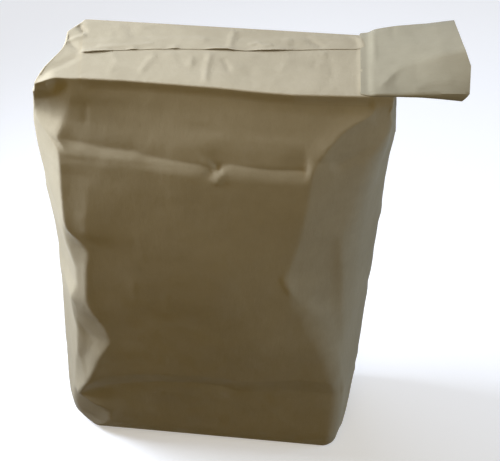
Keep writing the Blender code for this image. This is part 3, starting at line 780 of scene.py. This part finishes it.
def make_sleeve(material):
    stations = np.linspace(SLEEVE_STATIONS[0][0], SLEEVE_STATIONS[-1][0], SLEEVE_COLUMNS)
    upper, lower = [], []
    for x in stations:
        section = sleeve_section(x)
        near_mouth = smoothstep(x, 225, SLEEVE_STATIONS[-1][0])
        plan_x = x + near_mouth * profile(MOUTH_PLAN, section[:, 0])
        top_z = BASE_TOP + section[:, 1]
        upper.append(np.stack([plan_x, section[:, 0], top_z], axis=-1))
        bottom_z = top_z - section[:, 2]
        lower.append(np.stack([plan_x - MOUTH_SLANT * near_mouth, section[:, 0], bottom_z], axis=-1))
    upper, lower = np.array(upper), np.array(lower)
    # Small folds and waves of the sheets
    relief, worn_and_shaded = fold_relief(SLEEVE_FOLDS, upper[..., 0], upper[..., 1])
    free = smoothstep(upper[..., 0], 168, 190)
    upper[..., 2] += relief * smoothstep(upper[..., 0], 160, 172) + waves(upper, SLEEVE_WAVES) * free
    lower[..., 2] += waves(lower + 400.0, SLEEVE_WAVES) * free * 0.5
    sides = []
    for index in (0, -1):
        sides.append(np.array([between(upper[:, index], lower[:, index], step / SLEEVE_SIDE_STEPS)
                               for step in range(1, SLEEVE_SIDE_STEPS)]))
    front_side = np.moveaxis(sides[0], 0, 1)[:, ::-1]
    back_side = np.moveaxis(sides[1], 0, 1)
    loop = np.concatenate([upper, back_side, lower[:, ::-1], front_side], axis=1)
    bulge = np.zeros(loop.shape[:2])
    count = upper.shape[1]
    side_shape = np.sin(np.pi * np.arange(1, SLEEVE_SIDE_STEPS) / SLEEVE_SIDE_STEPS)
    bulge[:, count:count + SLEEVE_SIDE_STEPS - 1] = side_shape
    bulge[:, -(SLEEVE_SIDE_STEPS - 1):] = -side_shape
    loop[..., 1] += bulge * 0.8
    wear_and_shade = np.zeros(loop.shape[:2])
    wear_and_shade[:, :count] = worn_and_shaded
    wear_and_shade[:, SLEEVE_SLOPE_STEPS] += 0.6
    wear_and_shade[:, [0, count - 1]] += 0.6
    wear_and_shade[-1] += 0.7

    normals = grid_normals_round(loop)
    inner = loop - normals * SLEEVE_PLY
    inner[:, :, 0] = loop[:, :, 0]
    inner[0, :, 0] += SLEEVE_PLY
    surface = Surface()
    outer_ids = surface.add(loop, wear_and_shade)
    inner_ids = surface.add(inner, 0.0)
    surface.skin(outer_ids, closed=True)
    surface.skin(inner_ids, closed=True, flip=True)
    surface.skin(np.stack([outer_ids[-1], inner_ids[-1]]), closed=True)
    for ids, flip in ((outer_ids[0], False), (inner_ids[0], True)):
        close_strip(surface, ids, flip)
    return surface.make("filling_sleeve", material)


SLEEVE_FOLDS = (
    (((173, 46), (173.5, 20), (174, 2)), 0.8, 4, 5, 3, 8),
    (((171, -54), (170, -20), (168, 20), (167, 46)), 0.6, 3, 4, 3, 3),
    (((176, 58), (172, 50), (168, 42)), 1.0, 6, 5, 2, 3),
    (((196, 60), (195, 50), (193, 44)), -0.8, 5, 5, 2, 5),
    (((181, -46), (198, -20), (206, -8)), 0.7, 7, 8, 4, 8),
    (((210, 56), (226, 40), (250, 32)), -0.5, 8, 8, 6, 10),
    (((186, 20), (204, 26), (226, 24)), 0.5, 8, 7, 8, 10),
    (((214, -48), (236, -38), (262, -36)), 0.6, 7, 8, 6, 8),
)
SLEEVE_WAVES = ((46.0, 1.0), (18.0, 0.35))


def grid_normals_round(loop):
    """Outward normals of a tube's grid, whose rows run along it."""
    along = np.gradient(loop, axis=0)
    around = np.roll(loop, -1, axis=1) - np.roll(loop, 1, axis=1)
    return unit(np.cross(around, along))


def close_strip(surface, ids, flip):
    """Closes the blind end of a flattened tube with a strip between its two sheets."""
    count = len(ids)
    for index in range(count // 2 - 1):
        quad = [int(ids[index]), int(ids[index + 1]), int(ids[count - 2 - index]), int(ids[count - 1 - index])]
        surface.faces.append(quad[::-1] if flip else quad)


def kraft_material(name, tones, fibre_along):
    """Kraft paper: cloudy tone, long fibres, flecks, worn folds, painted shade in sunk folds and a fine toothy
    surface.
    """
    material = bpy.data.materials.new(name)
    material.use_nodes = True
    nodes, links = material.node_tree.nodes, material.node_tree.links
    shader = nodes["Principled BSDF"]
    shader.inputs["Metallic"].default_value = 0.0
    shader.inputs["Specular IOR Level"].default_value = 0.35
    shader.inputs["Sheen Weight"].default_value = 0.08
    shader.inputs["Sheen Roughness"].default_value = 0.6
    place = nodes.new("ShaderNodeTexCoord").outputs["Object"]

    def node(kind, **values):
        made = nodes.new(kind)
        for key, value in values.items():
            setattr(made, key, value)
        return made

    def texture(kind, scale, detail, stretch=(1, 1, 1), roughness=0.55):
        mapping = node("ShaderNodeMapping")
        mapping.inputs["Scale"].default_value = stretch
        links.new(place, mapping.inputs["Vector"])
        made = node(kind)
        made.inputs["Scale"].default_value = scale
        if kind == "ShaderNodeTexNoise":
            made.inputs["Detail"].default_value = detail
            made.inputs["Roughness"].default_value = roughness
        links.new(mapping.outputs["Vector"], made.inputs["Vector"])
        return made

    def mix(colour_a, colour_b, factor, blend="MIX"):
        made = node("ShaderNodeMix", data_type="RGBA", blend_type=blend)
        sockets = [s for s in made.inputs if s.enabled]
        for socket, value in zip(sockets, (factor, colour_a, colour_b)):
            if isinstance(value, bpy.types.NodeSocket):
                links.new(value, socket)
            else:
                socket.default_value = value
        return [s for s in made.outputs if s.enabled][0]

    def ramp(value, low, high, out_low=0.0, out_high=1.0):
        made = node("ShaderNodeMapRange", clamp=True)
        links.new(value, made.inputs["Value"])
        for socket, number in zip(("From Min", "From Max", "To Min", "To Max"), (low, high, out_low, out_high)):
            made.inputs[socket].default_value = number
        return made.outputs["Result"]

    dark, middle, light = tones
    cloud = texture("ShaderNodeTexNoise", 9.0, 4)
    mottle = texture("ShaderNodeTexNoise", 46.0, 5)
    fibre = texture("ShaderNodeTexNoise", 420.0, 3, fibre_along)
    fleck = texture("ShaderNodeTexNoise", 900.0, 2, (1, 1, 0.5))
    colour = mix(dark, middle, ramp(cloud.outputs["Fac"], 0.3, 0.62))
    colour = mix(colour, light, ramp(mottle.outputs["Fac"], 0.42, 0.78, 0.0, 0.45))
    colour = mix(colour, dark, ramp(fibre.outputs["Fac"], 0.52, 0.75, 0.0, 0.3))
    colour = mix(colour, light, ramp(fleck.outputs["Fac"], 0.62, 0.8, 0.0, 0.35))
    # The attribute carries wear on raised folds above zero and painted shade in sunk folds below zero
    worn_and_shaded = node("ShaderNodeAttribute", attribute_name="wear_and_shade")
    mark_strength = ramp(mottle.outputs["Fac"], 0.35, 0.62, 0.0, 0.3)
    worn_share = node("ShaderNodeMath", operation="MULTIPLY")
    links.new(ramp(worn_and_shaded.outputs["Fac"], 0.25, 1.3), worn_share.inputs[0])
    links.new(mark_strength, worn_share.inputs[1])
    colour = mix(colour, WORN_TONE, worn_share.outputs["Value"])
    # Painted shade: sunk folds are darkened towards the shade tone
    colour = mix(colour, PAINTED_CREASE_SHADE, ramp(worn_and_shaded.outputs["Fac"], -0.2, -1.3, 0.0, 0.4))
    links.new(colour, shader.inputs["Base Color"])
    links.new(ramp(mottle.outputs["Fac"], 0.3, 0.7, 0.68, 0.84), shader.inputs["Roughness"])

    grain = texture("ShaderNodeTexNoise", 700.0, 4, (1, 1, 1), 0.7)
    pulp = texture("ShaderNodeTexNoise", 120.0, 4, fibre_along)
    bump_fine = node("ShaderNodeBump")
    bump_fine.inputs["Strength"].default_value = 0.35
    bump_fine.inputs["Distance"].default_value = 0.0003
    links.new(grain.outputs["Fac"], bump_fine.inputs["Height"])
    bump = node("ShaderNodeBump")
    bump.inputs["Strength"].default_value = 0.3
    bump.inputs["Distance"].default_value = 0.0012
    links.new(pulp.outputs["Fac"], bump.inputs["Height"])
    links.new(bump_fine.outputs["Normal"], bump.inputs["Normal"])
    links.new(bump.outputs["Normal"], shader.inputs["Normal"])
    return material


WORN_TONE = (0.60, 0.53, 0.39, 1.0)
# Painted shade for the sunk folds
PAINTED_CREASE_SHADE = (0.22, 0.17, 0.10, 1.0)
SACK_TONES = ((0.36, 0.298, 0.183, 1.0), (0.42, 0.352, 0.222, 1.0), (0.48, 0.408, 0.268, 1.0))
# The sleeve's tones are the sack's kraft darkened by about a quarter, painted shade on the sleeve, and a little
# greyer
SHADED_SLEEVE_TONES = ((0.282, 0.242, 0.152, 1.0), (0.322, 0.280, 0.178, 1.0), (0.372, 0.325, 0.214, 1.0))
UPRIGHT_FIBRES = (1.0, 1.0, 0.4)
LEVEL_FIBRES = (0.4, 1.0, 1.0)

FLOOR_TONE = (0.80, 0.79, 0.77, 1.0)
# The floor is lit a little from within, so that the shadows on it are pale
FLOOR_GLOW = 0.5
# Lights: (name, place, aimed at, width, height, power, colour), in metres and watts
LIGHTS = (
    ("key", (-1.3, 1.3, 2.3), (0.0, 0.0, 0.5), 2.6, 2.6, 44.0, (0.64, 0.75, 1.0)),
    ("front_fill", (0.1, -0.9, 1.5), (0.0, 0.0, 0.6), 0.6, 0.6, 3.2, (1.0, 0.74, 0.3)),
    ("right_fill", (2.2, -0.5, 1.3), (0.1, 0.0, 0.35), 1.2, 1.2, 27.0, (0.5, 0.68, 1.0)),
    ("left_light", (-1.15, 0.09, 1.05), (-0.2, 0.0, 0.66), 0.55, 0.55, 11.4, (0.72, 0.81, 1.0)),
)
FULL_SPREAD = 180.0
LEFT_SPREAD = 90.0
WORLD_COLOUR = (1.0, 0.66, 0.03, 1.0)
WORLD_STRENGTH = 0.103


def make_camera():
    yaw, pitch, roll = (math.radians(a) for a in (CAMERA_YAW, CAMERA_PITCH, CAMERA_ROLL))
    back = Vector((math.sin(yaw) * math.cos(pitch), -math.cos(yaw) * math.cos(pitch), math.sin(pitch)))
    level_right = Vector((math.cos(yaw), math.sin(yaw), 0.0))
    level_up = back.cross(level_right)
    right = level_right * math.cos(roll) + level_up * math.sin(roll)
    up = level_up * math.cos(roll) - level_right * math.sin(roll)
    data = bpy.data.cameras.new("camera")
    data.sensor_width = SENSOR_WIDTH
    data.lens = FOCAL_PIXELS * SENSOR_WIDTH / IMAGE_WIDTH
    camera = bpy.data.objects.new("camera", data)
    turned = Matrix((right, up, back)).transposed().to_4x4()
    place = (Vector(CAMERA_TARGET) + back * CAMERA_DISTANCE) * MM
    camera.matrix_world = Matrix.Translation(place) @ turned
    bpy.context.scene.collection.objects.link(camera)
    bpy.context.scene.camera = camera


def make_lights():
    for name, place, aim, width, height, power, colour in LIGHTS:
        data = bpy.data.lights.new(name, "AREA")
        data.shape = "RECTANGLE"
        data.size, data.size_y = width, height
        data.energy = power
        data.spread = math.radians(LEFT_SPREAD if name == "left_light" else FULL_SPREAD)
        data.color = colour
        light = bpy.data.objects.new(name, data)
        light.location = place
        light.rotation_euler = (Vector(aim) - Vector(place)).to_track_quat("-Z", "Y").to_euler()
        bpy.context.scene.collection.objects.link(light)
    world = bpy.data.worlds.new("studio")
    world.use_nodes = True
    background = world.node_tree.nodes["Background"]
    background.inputs["Color"].default_value = WORLD_COLOUR
    background.inputs["Strength"].default_value = WORLD_STRENGTH
    bpy.context.scene.world = world
    bpy.context.scene.view_settings.view_transform = "Standard"


def make_floor():
    half = FLOOR_SIZE / 2
    mesh = bpy.data.meshes.new("floor")
    mesh.from_pydata([(-half, -half, 0), (half, -half, 0), (half, half, 0), (-half, half, 0)], [], [(0, 1, 2, 3)])
    material = bpy.data.materials.new("pale_floor")
    material.use_nodes = True
    shader = material.node_tree.nodes["Principled BSDF"]
    shader.inputs["Base Color"].default_value = FLOOR_TONE
    shader.inputs["Roughness"].default_value = 0.9
    shader.inputs["Emission Color"].default_value = FLOOR_TONE
    shader.inputs["Emission Strength"].default_value = FLOOR_GLOW
    shader.inputs["Specular IOR Level"].default_value = 0.1
    mesh.materials.append(material)
    floor = bpy.data.objects.new("floor", mesh)
    # The photograph's front panel is in deep shade, so the floor throws no light back on the sack
    floor.visible_diffuse = False
    bpy.context.scene.collection.objects.link(floor)


make_camera()
make_lights()
make_floor()

sack = make_sack(kraft_material("sack_kraft", SACK_TONES, UPRIGHT_FIBRES))
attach(sack, "root")
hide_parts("sack")

# The sleeve gets the darker copy of the kraft: painted shade
sleeve = make_sleeve(kraft_material("sleeve_kraft_shaded", SHADED_SLEEVE_TONES, LEVEL_FIBRES))
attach(sleeve, "root")
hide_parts("valve_sleeve")
